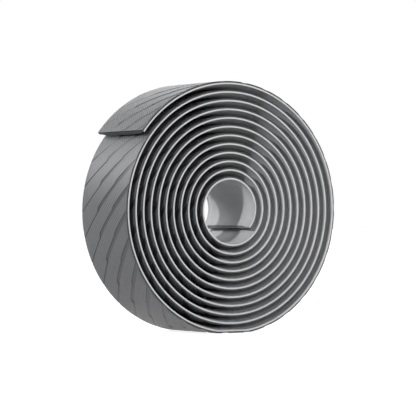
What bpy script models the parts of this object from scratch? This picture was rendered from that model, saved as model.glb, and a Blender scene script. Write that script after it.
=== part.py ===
"""Handlebar tape roll: one long strip of soft tape, wound flat into an open roll.

Units are metres and +Z is up. The roll stands on its rim. Its axis runs along Y, the side that
faces -Y is the front, and the origin lies on the floor under the roll's centre, at mid-width.
Seen from the front, the tape runs clockwise from its free end, inwards to its inner end.
"""

from math import acos, cos, pi, radians, sin

import bmesh
import bpy

# The tape
TAPE_WIDTH = 0.030
MIDDLE_THICKNESS = 0.00195
EDGE_THICKNESS = 0.0011
LIP_WIDTH = 0.0010
SKIVE_WIDTH = 0.0034
OUTER_EDGE_RADIUS = 0.0005

# The winding
HOLE_RADIUS = 0.00854
TURN_GAP = 0.00104
TURNS = 11.508
FREE_END_ANGLE = radians(143.3)

# The small flat spot that the soft roll stands on
FLAT_DEPTH = 0.00045
FLAT_BLEND = 0.00010

# The finish
TAPE_COLOUR = (0.13, 0.13, 0.132, 1.0)
TAPE_ROUGHNESS = 0.55

# The mesh
FACET_ERROR = 0.000075
EDGE_ARC_STEPS = 2
FLAT_STEPS = 5
SHARP_ANGLE = radians(46)

# What follows from the sizes above
PITCH = MIDDLE_THICKNESS + TURN_GAP
BOTTOM_TURN = ((FREE_END_ANGLE + pi / 2) / (2 * pi)) % 1.0


def face_radius(turn):
    """The distance from the roll's centre to the tape's outer face, that many turns in."""
    return HOLE_RADIUS + MIDDLE_THICKNESS + PITCH * (TURNS - turn)


CENTRE_HEIGHT = face_radius(BOTTOM_TURN) - FLAT_DEPTH


def clear_scene():
    for item in list(bpy.data.objects):
        bpy.data.objects.remove(item, do_unlink=True)


def tape_section():
    """The tape's cut section, as (depth below the outer face, place along Y) points.

    The outer face is rolled down at both edges. The foam behind it is skived there, from its
    full thickness in the middle down to a thin flat lip with a square edge.
    """
    half_width = TAPE_WIDTH / 2
    radius = OUTER_EDGE_RADIUS
    front = [
        (MIDDLE_THICKNESS, LIP_WIDTH + SKIVE_WIDTH - half_width),
        (EDGE_THICKNESS, LIP_WIDTH - half_width),
        (EDGE_THICKNESS, -half_width),
    ]
    for step in range(EDGE_ARC_STEPS + 1):
        angle = pi / 2 * step / EDGE_ARC_STEPS
        front.append((radius * (1 - sin(angle)), -half_width + radius * (1 - cos(angle))))
    back = [(depth, -along) for depth, along in reversed(front)]
    return front + back


def settled_lift(height):
    """How far the floor pushes up a point of the tape that would hang at this height."""
    below = -height
    if below <= -FLAT_BLEND:
        return 0.0
    if below >= FLAT_BLEND:
        return below
    return (below + FLAT_BLEND) ** 2 / (4 * FLAT_BLEND)


def station_turns():
    """The turns at which the section is set: even facets, with closer ones at the flat spot."""
    turns = [0.0]
    while turns[-1] < TURNS:
        turns.append(turns[-1] + acos(1 - FACET_ERROR / face_radius(min(turns[-1], TURNS))) / pi)
    even = [turn * TURNS / turns[-1] for turn in turns]
    bottom_radius = face_radius(BOTTOM_TURN)
    half_span = acos((CENTRE_HEIGHT - 2 * FLAT_BLEND) / bottom_radius) / (2 * pi)
    close = [BOTTOM_TURN + half_span * step / FLAT_STEPS for step in range(-FLAT_STEPS, FLAT_STEPS + 1)]
    clear = half_span * (1 + 1 / FLAT_STEPS)
    return sorted([turn for turn in even if abs(turn - BOTTOM_TURN) > clear] + close)


def section_at(turn, section):
    """The section's points in space at one place along the winding."""
    angle = FREE_END_ANGLE - 2 * pi * turn
    radius = face_radius(turn)
    lift = settled_lift(CENTRE_HEIGHT + radius * sin(angle))
    points = []
    for depth, along in section:
        reach = radius - depth
        points.append((reach * cos(angle), along, CENTRE_HEIGHT + reach * sin(angle) + lift))
    return points


def make_material():
    material = bpy.data.materials.new("tape")
    material.use_nodes = True
    surface = material.node_tree.nodes["Principled BSDF"]
    surface.inputs["Base Color"].default_value = TAPE_COLOUR
    surface.inputs["Roughness"].default_value = TAPE_ROUGHNESS
    surface.inputs["Metallic"].default_value = 0.0
    return material


def make_tape():
    """Sweep the section along the winding and close it at the two cut ends."""
    section = tape_section()
    form = bmesh.new()
    rings = [[form.verts.new(point) for point in section_at(turn, section)] for turn in station_turns()]
    for ring, following in zip(rings, rings[1:]):
        for place in range(len(section)):
            beside = (place + 1) % len(section)
            form.faces.new((ring[place], ring[beside], following[beside], following[place]))
    form.faces.new(rings[0])
    form.faces.new(rings[-1])
    bmesh.ops.recalc_face_normals(form, faces=form.faces)

    mesh = bpy.data.meshes.new("tape")
    form.to_mesh(mesh)
    form.free()
    mesh.materials.append(make_material())
    mesh.shade_smooth()
    mesh.set_sharp_from_angle(angle=SHARP_ANGLE)

    tape = bpy.data.objects.new("tape", mesh)
    bpy.context.collection.objects.link(tape)
    return tape


def main():
    clear_scene()
    make_tape()


main()
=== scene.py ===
"""The looks of the handlebar tape roll: its wound tape with the grooved skin, and the studio.

Units are metres and +Z is up. The roll stands on its rim with its axis along Y, and the side that
faces -Y is its front. A place on the tape has three measures: run, along the outer face from the
free end; across, over the width from the front edge; and depth, below the outer face.
"""

from math import cos, pi, radians, sin

import bmesh
import bpy
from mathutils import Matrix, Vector


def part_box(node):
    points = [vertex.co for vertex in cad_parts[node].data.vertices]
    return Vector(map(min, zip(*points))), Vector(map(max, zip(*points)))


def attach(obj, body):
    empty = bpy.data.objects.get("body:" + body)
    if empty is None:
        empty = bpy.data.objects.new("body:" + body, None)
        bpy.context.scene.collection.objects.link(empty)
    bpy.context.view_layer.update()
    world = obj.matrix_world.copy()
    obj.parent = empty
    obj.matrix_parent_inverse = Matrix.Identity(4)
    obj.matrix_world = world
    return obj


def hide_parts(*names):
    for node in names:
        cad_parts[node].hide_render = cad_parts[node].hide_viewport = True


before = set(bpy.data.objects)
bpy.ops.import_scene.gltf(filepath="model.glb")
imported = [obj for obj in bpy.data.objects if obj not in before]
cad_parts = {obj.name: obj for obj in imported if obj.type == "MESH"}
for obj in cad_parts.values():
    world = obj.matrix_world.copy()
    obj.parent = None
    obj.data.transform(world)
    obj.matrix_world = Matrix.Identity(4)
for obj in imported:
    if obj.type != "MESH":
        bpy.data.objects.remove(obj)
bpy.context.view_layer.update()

MM = 0.001

# The tape's section
TAPE_LOW, TAPE_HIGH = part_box("tape")
TAPE_WIDTH = TAPE_HIGH.y - TAPE_LOW.y
MIDDLE_THICKNESS = 1.95 * MM
EDGE_THICKNESS = 1.1 * MM
LIP_WIDTH = 1.0 * MM
SKIVE_WIDTH = 3.4 * MM
SKIVED_WIDTH = LIP_WIDTH + SKIVE_WIDTH
OUTER_EDGE_RADIUS = 0.2 * MM
SKIN_THICKNESS = 0.57 * MM

# The winding, and the small flat spot that the roll stands on
HOLE_RADIUS = 8.54 * MM
TURN_GAP = 1.04 * MM
TURNS = 11.508
FREE_END_ANGLE = radians(143.3)
FLAT_DEPTH = 0.45 * MM
FLAT_BLEND = 0.10 * MM
PITCH = MIDDLE_THICKNESS + TURN_GAP
OUTER_RADIUS = HOLE_RADIUS + MIDDLE_THICKNESS + PITCH * TURNS
BOTTOM_TURN = ((FREE_END_ANGLE + pi / 2) / (2 * pi)) % 1.0
CENTRE_HEIGHT = OUTER_RADIUS - PITCH * BOTTOM_TURN - FLAT_DEPTH
TAPE_LENGTH = 2 * pi * (OUTER_RADIUS * TURNS - PITCH * TURNS**2 / 2)

# The slanting grooves pressed into the skin, each in three widths across the tape
GROOVE_SPACING = 8.96 * MM
GROOVE_SLANT = 0.855
GROOVE_WALL = 0.35 * MM
WALL_SHARE = 0.45
GROOVE_STEEPNESS = 0.48
FIRST_GROOVE = 1.0 * MM
FRONT_GROOVE_WIDTH = 2.8 * MM
MIDDLE_GROOVE_WIDTH = 2.2 * MM
BACK_GROOVE_WIDTH = 0.8 * MM
FRONT_STEP = 9.2 * MM
BACK_STEP = 19.2 * MM
STEP_LENGTH = 0.5 * MM

# The bulge of the wound foam, nearly up to the next turn, and the turns where it fades at both ends
FOAM_BULGE = 0.85 * MM
BULGE_RISE = 0.7
FREE_END_FADE = (0.03, 0.12)
INNER_END_FADE = (TURNS - 1.35, TURNS - 1.03)

# The mesh: its rows over the section, and its columns over each groove and the land behind it
ARC_STEPS = 3
SKIVE_STEPS = 4
OUTER_ROW_SPACING = 2.0 * MM
INNER_ROW_SPACING = 2.2 * MM
GROOVE_PARTS = 3
LAND_PARTS = 6
COLUMNS = GROOVE_PARTS + LAND_PARTS
NEARLY_FULL = 0.999
MERGE_DISTANCE = 0.002 * MM
SHARP_ANGLE = radians(18)

# The colours: the skin and its grooves, the foam at the edges and behind, and the painted shade of the cut
# ends
SKIN_COLOUR = (0.059, 0.0613, 0.0665, 1.0)
GROOVE_COLOUR = (0.024, 0.0253, 0.028, 1.0)
FOAM_COLOUR = (0.64, 0.645, 0.655, 1.0)
BACKING_COLOUR = (0.44, 0.45, 0.455, 1.0)
# Painted shade on the two cut ends: the free end is darkened strongly, the inner end less
FREE_END_PAINTED_SHADE = (0.15, 0.16, 0.157, 1.0)
INNER_END_PAINTED_SHADE = (0.6, 0.6, 0.6, 1.0)
CUT_END_LENGTH = 0.02 * MM
BACKING_START = 0.98 * EDGE_THICKNESS

# The gloss
SHEEN_LEVEL = 0.38
SKIN_ROUGHNESS = 0.43
FOAM_ROUGHNESS = 0.73
FREE_END_ROUGHENING = 0.25

# The fine cross-hatch that is embossed on the skin, in two sets of slanting lines
FORWARD_HATCH = 1.25 * MM
FORWARD_SLANT = GROOVE_SLANT
FORWARD_SHARE = 0.3
BACKWARD_HATCH = 1.35 * MM
BACKWARD_SLANT = -1.08
HATCH_HEIGHT = 0.05
HATCH_FADE = (0.02 * MM, 0.1 * MM)

# The skin's grain, the foam's pores, the broad patches of tone and the wandering seam
GRAIN_SIZE = 0.3 * MM
GRAIN_HEIGHT = 0.005
GRAIN_TONE = 0.03
PORE_SIZE = 0.35 * MM
PORE_HEIGHT = 0.02
PORE_TONE = 0.08
PATCH_SIZE = 7.0 * MM
PATCH_TONE = 0.05
SEAM_WAVE = 2.1 * MM
SEAM_WANDER = 0.05 * MM
SEAM_SOFTNESS = 0.03 * MM

# The photograph's camera
AIM = Vector((0.055, 0.095, 43.18)) * MM
AZIMUTH = radians(-32.793)
ELEVATION = radians(-0.269)
CAMERA_DISTANCE = 796.58 * MM
FOCAL_PIXELS = 2271.78
IMAGE_PIXELS = 416
SENSOR_WIDTH = 36.0

# The studio's lamps: towards, distance, size and power
LAMPS = {
    "front key": ((-0.857, -0.348, 0.380), 0.6, 0.03, 2.2),
    "back key": ((-0.701, 0.464, 0.542), 0.6, 0.03, 2.1),
    "front soft": ((-0.2, -0.9, 0.38), 0.6, 0.3, 0.95),
    "right soft": ((0.62, -0.78, 0.02), 0.25, 0.08, 0.18),
    "left sheen": ((-0.47, 0.7, 0.53), 0.6, 0.2, 1.1),
    "top sheen": ((0.38, 0.83, 0.4), 0.6, 0.35, 0.5),
    "back soft": ((0.93, 0.36, 0.1), 0.6, 0.35, 1.6),
}

# The backdrop and the floor
BLACK = (0.0, 0.0, 0.0, 1.0)
WHITE = (1.0, 1.0, 1.0, 1.0)
WORLD_COLOUR = (0.07, 0.07, 0.07, 1.0)
FLOOR_COLOUR = (0.35, 0.35, 0.35, 1.0)
FLOOR_ROUGHNESS = 0.9
FLOOR_REACH = 6.0
FLOOR_DROP = 0.02 * MM
NEAR_GLOW = (0.85, 0.85, 0.85, 1.0)
GLOW_REACH = (0.15, 0.5)


class Number:
    """A number from a node. Sums written on it in Python add the Math nodes for them."""

    def __init__(self, maker, socket):
        self.maker = maker
        self.socket = socket

    def __add__(self, other):
        return self.maker.math("ADD", self, other)

    def __sub__(self, other):
        return self.maker.math("SUBTRACT", self, other)

    def __rsub__(self, other):
        return self.maker.math("SUBTRACT", other, self)

    def __mul__(self, other):
        return self.maker.math("MULTIPLY", self, other)

    def __truediv__(self, other):
        return self.maker.math("DIVIDE", self, other)

    def __mod__(self, other):
        return self.maker.math("FLOORED_MODULO", self, other)

    def __pow__(self, other):
        return self.maker.math("POWER", self, other)

    def __gt__(self, other):
        return self.maker.math("GREATER_THAN", self, other)

    def __lt__(self, other):
        return self.maker.math("LESS_THAN", self, other)

    __radd__ = __add__
    __rmul__ = __mul__


class NodeMaker:
    """Makes the nodes of one tree, and joins them."""

    def __init__(self, tree):
        self.tree = tree

    def join(self, socket, value):
        """Give a node's input a link or a plain value."""
        source = value.socket if isinstance(value, Number) else value
        if isinstance(source, bpy.types.NodeSocket):
            self.tree.links.new(source, socket)
        else:
            socket.default_value = source

    def node(self, kind, settings=None, values=None):
        """Make a node. Its settings are set first, then the values or links of its inputs."""
        made = self.tree.nodes.new(kind)
        for name, setting in (settings or {}).items():
            setattr(made, name, setting)
        for place, value in (values or {}).items():
            self.join(made.inputs[place], value)
        return made

    def output(self, kind, settings=None, values=None, place=0):
        """Make a node and take one of its outputs, the first unless a place is given."""
        return self.node(kind, settings, values).outputs[place]

    def number(self, kind, settings=None, values=None, place=0):
        """Make a node and take one of its outputs as a number."""
        return Number(self, self.output(kind, settings, values, place))

    def math(self, operation, *values):
        return self.number("ShaderNodeMath", {"operation": operation}, dict(enumerate(values)))

    def held(self, value, low, high):
        """The value, kept from going below low or above high."""
        return self.math("MINIMUM", self.math("MAXIMUM", value, low), high)

    def smooth_step(self, value, low, high):
        """0 below low, 1 above high, and an easy rise between them."""
        return self.number(
            "ShaderNodeMapRange",
            {"interpolation_type": "SMOOTHSTEP"},
            {"Value": value, "From Min": low, "From Max": high},
        )

    def mix_colours(self, share, first, second, blend="MIX"):
        """Mix two colours. A Mix node has them at places 6 and 7, and its colour output at 2."""
        settings = {"data_type": "RGBA", "blend_type": blend}
        return self.output("ShaderNodeMix", settings, {0: share, 6: first, 7: second}, 2)

    def stored(self, geometry, name, value):
        """Keep a number on each point of the geometry under a name."""
        return self.output(
            "GeometryNodeStoreNamedAttribute",
            {"data_type": "FLOAT", "domain": "POINT"},
            {"Geometry": geometry, "Name": name, "Value": value},
        )

    def named(self, name):
        """Read a number that is kept on each point."""
        return self.number("GeometryNodeInputNamedAttribute", {"data_type": "FLOAT"}, {"Name": name})


def clear_start_scene():
    for name in ("Cube", "Light", "Camera"):
        left_over = bpy.data.objects.get(name)
        if left_over is not None:
            bpy.data.objects.remove(left_over, do_unlink=True)


def spread(start, end, spacing):
    """Even places from start to end, about as far apart as the spacing."""
    parts = max(1, round((end - start) / spacing))
    return [start + (end - start) * part / parts for part in range(parts + 1)]


def tape_outline():
    """The tape's cut section, as (depth, across) points round it, from the front lip's corner.

    The outer face is rolled down at both edges. The foam behind it is skived there in an easy
    curve, from its full thickness in the middle down to a thin flat lip with a square edge.
    """
    front = [(EDGE_THICKNESS, 0.0)]
    for step in range(ARC_STEPS + 1):
        angle = pi / 2 * step / ARC_STEPS
        front.append((OUTER_EDGE_RADIUS * (1 - sin(angle)), OUTER_EDGE_RADIUS * (1 - cos(angle))))
    back = [(depth, TAPE_WIDTH - across) for depth, across in reversed(front)]

    half_step = STEP_LENGTH / 2
    places = spread(OUTER_EDGE_RADIUS, FRONT_STEP - half_step, OUTER_ROW_SPACING)[1:]
    places += spread(FRONT_STEP + half_step, BACK_STEP - half_step, OUTER_ROW_SPACING)
    places += spread(BACK_STEP + half_step, TAPE_WIDTH - OUTER_EDGE_RADIUS, OUTER_ROW_SPACING)[:-1]
    outer = [(0.0, across) for across in places]

    skive = []
    for step in range(SKIVE_STEPS + 1):
        share = step / SKIVE_STEPS
        depth = EDGE_THICKNESS + (MIDDLE_THICKNESS - EDGE_THICKNESS) * share**2 * (3 - 2 * share)
        skive.append((depth, LIP_WIDTH + SKIVE_WIDTH * share))
    back_skive = [(depth, TAPE_WIDTH - across) for depth, across in skive]
    places = spread(SKIVED_WIDTH, TAPE_WIDTH - SKIVED_WIDTH, INNER_ROW_SPACING)[1:-1]
    inner = [(MIDDLE_THICKNESS, TAPE_WIDTH - across) for across in places]
    return front + outer + back + back_skive + inner + list(reversed(skive))


def outline_mesh():
    """The section as a closed line, with its depth along X and its width along Y."""
    outline = tape_outline()
    count = len(outline)
    mesh = bpy.data.meshes.new("tape outline")
    edges = [(place, (place + 1) % count) for place in range(count)]
    mesh.from_pydata([(depth, across, 0.0) for depth, across in outline], edges, [])
    return mesh


WINDING_SIZES = {
    "Tape Width": TAPE_WIDTH,
    "Tape Length": TAPE_LENGTH,
    "Pitch": PITCH,
    "Outer Radius": OUTER_RADIUS,
    "Free End Angle": FREE_END_ANGLE,
    "Centre Height": CENTRE_HEIGHT,
    "Flat Blend": FLAT_BLEND,
    "Groove Spacing": GROOVE_SPACING,
    "Groove Slant": GROOVE_SLANT,
    "Groove Wall": GROOVE_WALL,
    "Groove Steepness": GROOVE_STEEPNESS,
    "First Groove": FIRST_GROOVE,
    "Front Groove Width": FRONT_GROOVE_WIDTH,
    "Middle Groove Width": MIDDLE_GROOVE_WIDTH,
    "Back Groove Width": BACK_GROOVE_WIDTH,
    "Front Step": FRONT_STEP,
    "Back Step": BACK_STEP,
    "Middle Thickness": MIDDLE_THICKNESS,
    "Skived Width": SKIVED_WIDTH,
    "Foam Bulge": FOAM_BULGE,
}


def straight_strip(maker, size, section):
    """Sweep the section along a line with one station for each column of each groove.

    Each point keeps its station, depth and across. Its real place follows from these.
    """
    measures = maker.node("ShaderNodeSeparateXYZ", None, {0: maker.output("GeometryNodeInputPosition")})
    profile = maker.output("GeometryNodeMeshToCurve", None, {"Mesh": section})
    profile = maker.stored(profile, "depth", measures.outputs["X"])
    profile = maker.stored(profile, "across", measures.outputs["Y"])

    reach = size["Tape Length"] + size["Groove Slant"] * size["Tape Width"]
    grooves = maker.math("CEIL", reach / size["Groove Spacing"]) + 1
    stations = {"Count": grooves * COLUMNS + 1, "Offset": (0.0, 0.0, MM)}
    line = maker.output("GeometryNodeMeshLine", {"mode": "OFFSET"}, stations)
    path = maker.output("GeometryNodeMeshToCurve", None, {"Mesh": line})
    path = maker.stored(path, "station", maker.output("GeometryNodeInputIndex"))
    sweep = {"Curve": path, "Profile Curve": profile, "Fill Caps": True}
    return maker.output("GeometryNodeCurveToMesh", None, sweep)


def groove_layout(maker, size, across):
    """The run of each point, and the depth to which a groove is pressed in there.

    A groove has a wall, a floor and a wall, and then comes the land up to the next groove. The
    walls of a narrow groove are cut down to a share of its width.
    """
    station = maker.named("station")
    groove = maker.math("FLOOR", station / COLUMNS) - 1
    column = station % COLUMNS
    width = size["Front Groove Width"]
    past_front = across > size["Front Step"]
    width = width + (size["Middle Groove Width"] - size["Front Groove Width"]) * past_front
    past_back = across > size["Back Step"]
    width = width + (size["Back Groove Width"] - size["Middle Groove Width"]) * past_back
    wall = maker.math("MINIMUM", size["Groove Wall"], width * WALL_SHARE)

    into_wall = maker.held(column, 0.0, 1.0)
    over_floor = maker.held(column - 1, 0.0, 1.0)
    out_of_wall = maker.held(column - 2, 0.0, 1.0)
    over_land = maker.math("MAXIMUM", column - GROOVE_PARTS, 0.0) / LAND_PARTS
    offset = into_wall * wall + over_floor * (width - wall * 2) + out_of_wall * wall
    offset = offset + over_land * (size["Groove Spacing"] - width)
    start = groove * size["Groove Spacing"] + size["First Groove"] - across * size["Groove Slant"]
    free_run = start + offset
    run = maker.held(free_run, 0.0, size["Tape Length"])
    inside = (free_run > 0.0) * (free_run < size["Tape Length"])
    on_floor = into_wall * (1 - out_of_wall)
    return run, on_floor * inside * wall * size["Groove Steepness"]


def flat_spot_lift(maker, size, height):
    """How far the floor pushes up the tape that would hang at this height, in an easy start."""
    below = 0 - height
    eased = maker.math("MAXIMUM", below + size["Flat Blend"], 0.0) ** 2 / (size["Flat Blend"] * 4)
    past_blend = below > size["Flat Blend"]
    return maker.number("GeometryNodeSwitch", {"input_type": "FLOAT"}, {0: past_blend, 1: eased, 2: below})


def foam_bulge(maker, size, turn, depth, across, lift):
    """How far the foam bulges inwards: less over the flat spot, where the gap is narrower."""
    over_plateau = (across - size["Skived Width"]) / (size["Tape Width"] - size["Skived Width"] * 2)
    hump = over_plateau * (1 - over_plateau) * 4
    on_inner_face = depth > size["Middle Thickness"] * NEARLY_FULL
    crown = maker.smooth_step(hump, 0.0, BULGE_RISE) * on_inner_face
    past_free_end = maker.smooth_step(turn, *FREE_END_FADE)
    past_inner_end = maker.smooth_step(turn, *INNER_END_FADE)
    room = maker.math("MAXIMUM", size["Foam Bulge"] - lift, 0.0)
    return crown * past_free_end * (1 - past_inner_end) * room


def winding_tree():
    """The tree that sweeps the section along the tape, presses in the grooves and winds it up."""
    tree = bpy.data.node_groups.new("tape winding", "GeometryNodeTree")
    tree.interface.new_socket("Section", in_out="INPUT", socket_type="NodeSocketGeometry")
    for name in WINDING_SIZES:
        tree.interface.new_socket(name, in_out="INPUT", socket_type="NodeSocketFloat")
    tree.interface.new_socket("Material", in_out="INPUT", socket_type="NodeSocketMaterial")
    tree.interface.new_socket("Tape", in_out="OUTPUT", socket_type="NodeSocketGeometry")
    maker = NodeMaker(tree)
    given = maker.node("NodeGroupInput")
    size = {name: Number(maker, given.outputs[name]) for name in WINDING_SIZES}

    strip = straight_strip(maker, size, given.outputs["Section"])
    depth = maker.named("depth")
    across = maker.named("across")
    run, groove_depth = groove_layout(maker, size, across)

    outer_radius = size["Outer Radius"]
    turn = (outer_radius - (outer_radius**2 - size["Pitch"] * run / pi) ** 0.5) / size["Pitch"]
    angle = size["Free End Angle"] - turn * (2 * pi)
    sine = maker.math("SINE", angle)
    cosine = maker.math("COSINE", angle)
    face_radius = outer_radius - size["Pitch"] * turn
    lift = flat_spot_lift(maker, size, size["Centre Height"] + face_radius * sine)
    bulge = foam_bulge(maker, size, turn, depth, across, lift)
    pressed = maker.math("MAXIMUM", depth, groove_depth) + bulge
    radius = face_radius - pressed
    wound = {
        "X": radius * cosine,
        "Y": across - size["Tape Width"] / 2,
        "Z": size["Centre Height"] + radius * sine + lift,
    }
    position = maker.output("ShaderNodeCombineXYZ", None, wound)

    strip = maker.stored(strip, "run", run)
    strip = maker.stored(strip, "pressed", pressed)
    strip = maker.output("GeometryNodeSetPosition", None, {"Geometry": strip, "Position": position})
    merging = {"Geometry": strip, "Distance": MERGE_DISTANCE}
    strip = maker.output("GeometryNodeMergeByDistance", None, merging)
    strip = maker.output("GeometryNodeTriangulate", {"quad_method": "SHORTEST_DIAGONAL"}, {"Mesh": strip})
    strip = maker.output("GeometryNodeRealizeInstances", None, {"Geometry": strip})
    finish = {"Geometry": strip, "Material": given.outputs["Material"]}
    strip = maker.output("GeometryNodeSetMaterial", None, finish)
    maker.node("NodeGroupOutput", None, {"Tape": strip})
    return tree


def make_wound_tape(material):
    """Wind the tape with its tree, then keep the result as a plain mesh."""
    guide = bpy.data.objects.new("tape outline", outline_mesh())
    bpy.context.scene.collection.objects.link(guide)
    winding = guide.modifiers.new("winding", "NODES")
    winding.node_group = winding_tree()
    sockets = {item.name: item.identifier for item in winding.node_group.interface.items_tree}
    for name, size in WINDING_SIZES.items():
        winding[sockets[name]] = float(size)
    winding[sockets["Material"]] = material
    evaluated = guide.evaluated_get(bpy.context.evaluated_depsgraph_get())
    mesh = bpy.data.meshes.new_from_object(evaluated)
    bpy.data.objects.remove(guide, do_unlink=True)

    form = bmesh.new()
    form.from_mesh(mesh)
    bmesh.ops.recalc_face_normals(form, faces=form.faces)
    form.to_mesh(mesh)
    form.free()
    mesh.shade_smooth()
    mesh.set_sharp_from_angle(angle=SHARP_ANGLE)
    tape = bpy.data.objects.new("wound_tape", mesh)
    bpy.context.scene.collection.objects.link(tape)
    return tape


def hatch_height(maker, run, across):
    """The height of the cross-hatch, from -1 to 1."""
    forward = maker.math("SINE", (run + across * FORWARD_SLANT) * (2 * pi / FORWARD_HATCH))
    backward = maker.math("SINE", (run + across * BACKWARD_SLANT) * (2 * pi / BACKWARD_HATCH))
    return forward * FORWARD_SHARE + backward * (1 - FORWARD_SHARE)


def noise(maker, place, size, detail=2.0):
    """Soft noise around 0, whose spots are about as wide as the size."""
    made = maker.number("ShaderNodeTexNoise", None, {"Vector": place, "Scale": 1 / size, "Detail": detail})
    return (made - 0.5) * 2


def tape_material():
    """Grey embossed skin over paler foam, which shows at the cut edges and on the inner face."""
    material = bpy.data.materials.new("tape skin and foam")
    material.use_nodes = True
    maker = NodeMaker(material.node_tree)
    surface = material.node_tree.nodes["Principled BSDF"]
    surface.inputs["Specular IOR Level"].default_value = SHEEN_LEVEL
    depth = maker.number("ShaderNodeAttribute", {"attribute_name": "pressed"}, place="Fac")
    across = maker.number("ShaderNodeAttribute", {"attribute_name": "across"}, place="Fac")
    run = maker.number("ShaderNodeAttribute", {"attribute_name": "run"}, place="Fac")
    place = maker.output("ShaderNodeTexCoord", place="Object")
    patches = noise(maker, place, PATCH_SIZE)
    seam = noise(maker, place, SEAM_WAVE) * SEAM_WANDER + SKIN_THICKNESS

    land = 1 - maker.smooth_step(depth, *HATCH_FADE)
    foam = maker.smooth_step(depth - seam, 0.0, SEAM_SOFTNESS)
    backing = maker.smooth_step(depth, BACKING_START, EDGE_THICKNESS)
    free_end = run < CUT_END_LENGTH
    inner_end = run > TAPE_LENGTH - CUT_END_LENGTH
    grain = noise(maker, place, GRAIN_SIZE) * (1 - foam)
    pores = noise(maker, place, PORE_SIZE, 3.0) * foam * (1 - backing)

    skin_colour = maker.mix_colours(land, GROOVE_COLOUR, SKIN_COLOUR)
    foam_colour = maker.mix_colours(backing, FOAM_COLOUR, BACKING_COLOUR)
    colour = maker.mix_colours(foam, skin_colour, foam_colour)
    # Painted shade: the free cut end, which faces down and away from the key lamps, is darkened
    colour = maker.mix_colours(free_end, colour, FREE_END_PAINTED_SHADE, "MULTIPLY")
    # Painted shade: the inner cut end is darkened a little
    colour = maker.mix_colours(inner_end, colour, INNER_END_PAINTED_SHADE, "MULTIPLY")
    tone = 1 + patches * PATCH_TONE + grain * GRAIN_TONE + pores * PORE_TONE
    toned = maker.output("ShaderNodeVectorMath", {"operation": "SCALE"}, {0: colour, "Scale": tone})
    maker.join(surface.inputs["Base Color"], toned)

    roughness = SKIN_ROUGHNESS + foam * (FOAM_ROUGHNESS - SKIN_ROUGHNESS) + free_end * FREE_END_ROUGHENING
    maker.join(surface.inputs["Roughness"], roughness)

    height = hatch_height(maker, run, across) * land * HATCH_HEIGHT
    height = height + grain * GRAIN_HEIGHT + pores * PORE_HEIGHT
    bump = maker.output("ShaderNodeBump", None, {"Strength": 1.0, "Distance": MM, "Height": height})
    maker.join(surface.inputs["Normal"], bump)
    return material


def dress_tape():
    tape = make_wound_tape(tape_material())
    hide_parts("tape")
    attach(tape, "root")


def make_camera():
    lens = bpy.data.cameras.new("camera")
    lens.sensor_width = SENSOR_WIDTH
    lens.lens = SENSOR_WIDTH * FOCAL_PIXELS / IMAGE_PIXELS
    camera = bpy.data.objects.new("camera", lens)
    bpy.context.scene.collection.objects.link(camera)
    back = Vector((sin(AZIMUTH) * cos(ELEVATION), -cos(AZIMUTH) * cos(ELEVATION), sin(ELEVATION)))
    camera.location = AIM + back * CAMERA_DISTANCE
    camera.rotation_mode = "QUATERNION"
    camera.rotation_quaternion = (-back).to_track_quat("-Z", "Y")
    bpy.context.scene.camera = camera


def make_lamps():
    for name, (towards, distance, size, power) in LAMPS.items():
        lamp = bpy.data.lights.new(name, "AREA")
        lamp.shape = "DISK"
        lamp.size = size
        lamp.energy = power
        made = bpy.data.objects.new(name, lamp)
        bpy.context.scene.collection.objects.link(made)
        direction = Vector(towards).normalized()
        made.location = AIM + direction * distance
        made.rotation_mode = "QUATERNION"
        made.rotation_quaternion = (-direction).to_track_quat("-Z", "Y")


def shows_backdrop(maker):
    """1 for the rays that show the backdrop, straight or in a gloss, and 0 for the rest."""
    rays = maker.node("ShaderNodeLightPath").outputs
    shown = maker.math("MAXIMUM", rays["Is Camera Ray"], rays["Is Transmission Ray"])
    return maker.math("MAXIMUM", shown, rays["Is Glossy Ray"])


def make_world():
    world = bpy.data.worlds.new("studio")
    world.use_nodes = True
    bpy.context.scene.world = world
    maker = NodeMaker(world.node_tree)
    background = world.node_tree.nodes["Background"]
    maker.join(background.inputs["Color"], maker.mix_colours(shows_backdrop(maker), WORLD_COLOUR, WHITE))


def floor_material():
    """A pale floor that shows white around the roll's shadow and right up to the horizon."""
    material = bpy.data.materials.new("floor")
    material.use_nodes = True
    maker = NodeMaker(material.node_tree)
    surface = material.node_tree.nodes["Principled BSDF"]
    surface.inputs["Base Color"].default_value = FLOOR_COLOUR
    surface.inputs["Roughness"].default_value = FLOOR_ROUGHNESS
    surface.inputs["Emission Strength"].default_value = 1.0
    place = maker.output("ShaderNodeTexCoord", place="Object")
    away = maker.number("ShaderNodeVectorMath", {"operation": "LENGTH"}, {0: place}, "Value")
    glow = maker.mix_colours(maker.smooth_step(away, *GLOW_REACH), NEAR_GLOW, WHITE)
    maker.join(surface.inputs["Emission Color"], maker.mix_colours(shows_backdrop(maker), BLACK, glow))
    return material


def make_floor():
    mesh = bpy.data.meshes.new("floor")
    reach = FLOOR_REACH
    corners = [(-reach, -reach, 0.0), (reach, -reach, 0.0), (reach, reach, 0.0), (-reach, reach, 0.0)]
    mesh.from_pydata(corners, [], [(0, 1, 2, 3)])
    mesh.materials.append(floor_material())
    floor = bpy.data.objects.new("floor", mesh)
    floor.location.z = -FLOOR_DROP
    bpy.context.scene.collection.objects.link(floor)


def main():
    clear_start_scene()
    bpy.context.scene.view_settings.view_transform = "Standard"
    make_camera()
    make_world()
    make_lamps()
    make_floor()
    dress_tape()


main()
